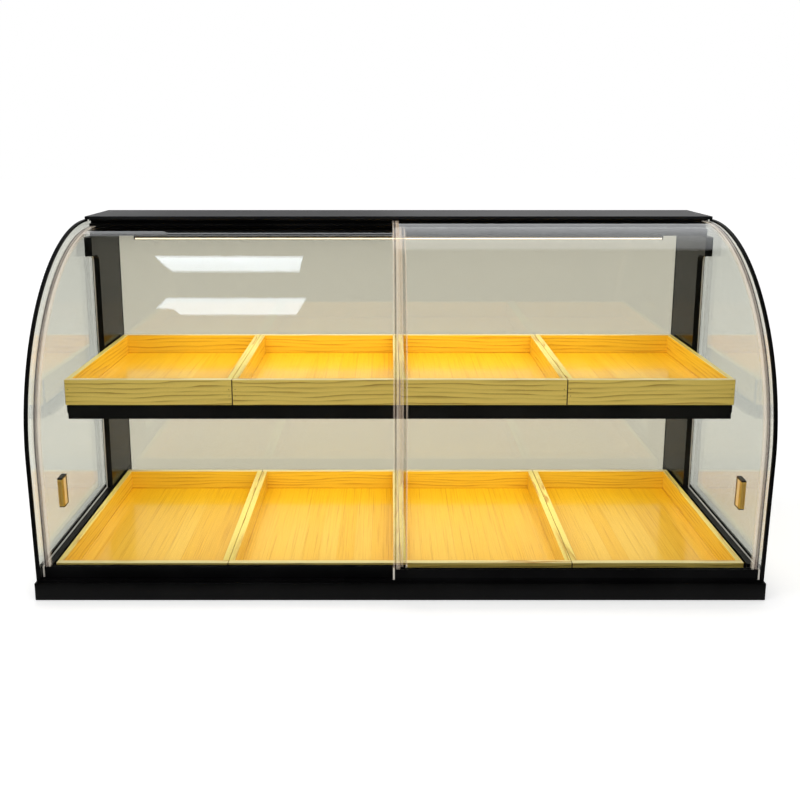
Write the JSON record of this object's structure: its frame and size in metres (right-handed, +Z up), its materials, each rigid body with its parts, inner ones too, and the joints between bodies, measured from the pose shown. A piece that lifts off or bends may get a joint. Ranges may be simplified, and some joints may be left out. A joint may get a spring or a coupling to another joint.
{
  "type": "counter display cabinet",
  "caption": "Counter bakery display cabinet with a bowed front of sliding clear doors, glass sides and back, a shelf, a light bar and rows of loose wooden trays.",
  "frame": {"origin": "middle of the plinth's footprint, on the counter", "axes": "+X to the right along the counter, +Y to the back, +Z up; the doors face -Y"},
  "size_m": [1.2, 0.5198, 0.6],
  "materials": {
    "plinth_lacquer": "satin black lacquer on board",
    "black_powder_coat": "fine satin black powder coat",
    "black_anodised_profile": "black anodised extrusion",
    "roof_coat": "satin grey coated plate",
    "gloss_slate_panel": "gloss slate black",
    "clear_glass": "clear float glass",
    "black_edge_rubber": "matt black channel",
    "pale_gasket": "pale grey strip",
    "clear_acrylic": "clear polished sheet",
    "clear_edge_profile": "clear extruded edge",
    "pale_nylon": "natural nylon",
    "brass_pull": "brushed, bright bevels",
    "black_screws": "blackened",
    "bright_screws": "zinc plated",
    "light_aluminium": "clear anodised",
    "light_diffuser": "opal, lit warm white",
    "lamp_board": "white solder mask",
    "black_plastic": "fine moulded grain",
    "black_lead": "smooth sheath",
    "pine_board": "clear lacquered, long grain",
    "pine_floor": "clear lacquered glued strips"
  },
  "bodies": {
    "cabinet": {"plinth_front_rail": "plinth_lacquer", "plinth_rear_rail": "plinth_lacquer", "plinth_left_rail": "plinth_lacquer", "plinth_right_rail": "plinth_lacquer", "base_deck": "plinth_lacquer", "door_bottom_track": "black_anodised_profile", "left_base_curb": "black_anodised_profile", "right_base_curb": "black_anodised_profile", "rear_base_curb": "black_anodised_profile", "left_side_frame": "gloss_slate_panel", "right_side_frame": "gloss_slate_panel", "left_side_glass": "clear_glass", "right_side_glass": "clear_glass", "left_edge_trim": "black_edge_rubber", "right_edge_trim": "black_edge_rubber", "glass_gaskets": "pale_gasket", "roof_panel": "roof_coat", "door_top_guide": "black_anodised_profile", "rear_top_rail": "black_anodised_profile", "rear_glass": "clear_glass", "shelf_panel": "black_powder_coat", "left_shelf_arm": "black_powder_coat", "right_shelf_arm": "black_powder_coat", "assembly_screws": "black_screws", "track_screws": "bright_screws", "light_channel": "light_aluminium", "light_diffuser": "light_diffuser", "light_board": "lamp_board", "light_end_caps": "black_plastic", "light_lead": "black_lead", "lead_cover": "black_plastic", "power_inlet": "black_plastic"},
    "left_door": {"left_door_panel": "clear_acrylic", "left_door_edge_strips": "clear_edge_profile", "left_door_rail": "black_anodised_profile", "left_door_rail_caps": "pale_nylon", "left_door_glides": "pale_nylon", "left_door_pull": "brass_pull"},
    "right_door": {"right_door_panel": "clear_acrylic", "right_door_edge_strips": "clear_edge_profile", "right_door_rail": "black_anodised_profile", "right_door_rail_caps": "pale_nylon", "right_door_glides": "pale_nylon", "right_door_pull": "brass_pull"},
    "lower_tray_1": {"lower_tray_1_boards": "pine_board", "lower_tray_1_floor": "pine_floor"},
    "lower_tray_2": {"lower_tray_2_boards": "pine_board", "lower_tray_2_floor": "pine_floor"},
    "lower_tray_3": {"lower_tray_3_boards": "pine_board", "lower_tray_3_floor": "pine_floor"},
    "lower_tray_4": {"lower_tray_4_boards": "pine_board", "lower_tray_4_floor": "pine_floor"},
    "upper_tray_1": {"upper_tray_1_boards": "pine_board", "upper_tray_1_floor": "pine_floor"},
    "upper_tray_2": {"upper_tray_2_boards": "pine_board", "upper_tray_2_floor": "pine_floor"},
    "upper_tray_3": {"upper_tray_3_boards": "pine_board", "upper_tray_3_floor": "pine_floor"},
    "upper_tray_4": {"upper_tray_4_boards": "pine_board", "upper_tray_4_floor": "pine_floor"}
  },
  "joints": [
    {"name": "left_door_slide", "type": "slide", "parent": "cabinet", "child": "left_door", "axis": [1, 0, 0], "range_m": [0, 0.52]},
    {"name": "right_door_slide", "type": "slide", "parent": "cabinet", "child": "right_door", "axis": [1, 0, 0], "range_m": [-0.52, 0]},
    {"name": "lower_tray_1_lift", "type": "slide", "parent": "cabinet", "child": "lower_tray_1", "axis": [0, 0, 1], "range_m": [0, 0.08]},
    {"name": "lower_tray_2_lift", "type": "slide", "parent": "cabinet", "child": "lower_tray_2", "axis": [0, 0, 1], "range_m": [0, 0.08]},
    {"name": "lower_tray_3_lift", "type": "slide", "parent": "cabinet", "child": "lower_tray_3", "axis": [0, 0, 1], "range_m": [0, 0.08]},
    {"name": "lower_tray_4_lift", "type": "slide", "parent": "cabinet", "child": "lower_tray_4", "axis": [0, 0, 1], "range_m": [0, 0.08]},
    {"name": "upper_tray_1_lift", "type": "slide", "parent": "cabinet", "child": "upper_tray_1", "axis": [0, 0, 1], "range_m": [0, 0.08]},
    {"name": "upper_tray_2_lift", "type": "slide", "parent": "cabinet", "child": "upper_tray_2", "axis": [0, 0, 1], "range_m": [0, 0.08]},
    {"name": "upper_tray_3_lift", "type": "slide", "parent": "cabinet", "child": "upper_tray_3", "axis": [0, 0, 1], "range_m": [0, 0.08]},
    {"name": "upper_tray_4_lift", "type": "slide", "parent": "cabinet", "child": "upper_tray_4", "axis": [0, 0, 1], "range_m": [0, 0.08]}
  ]
}
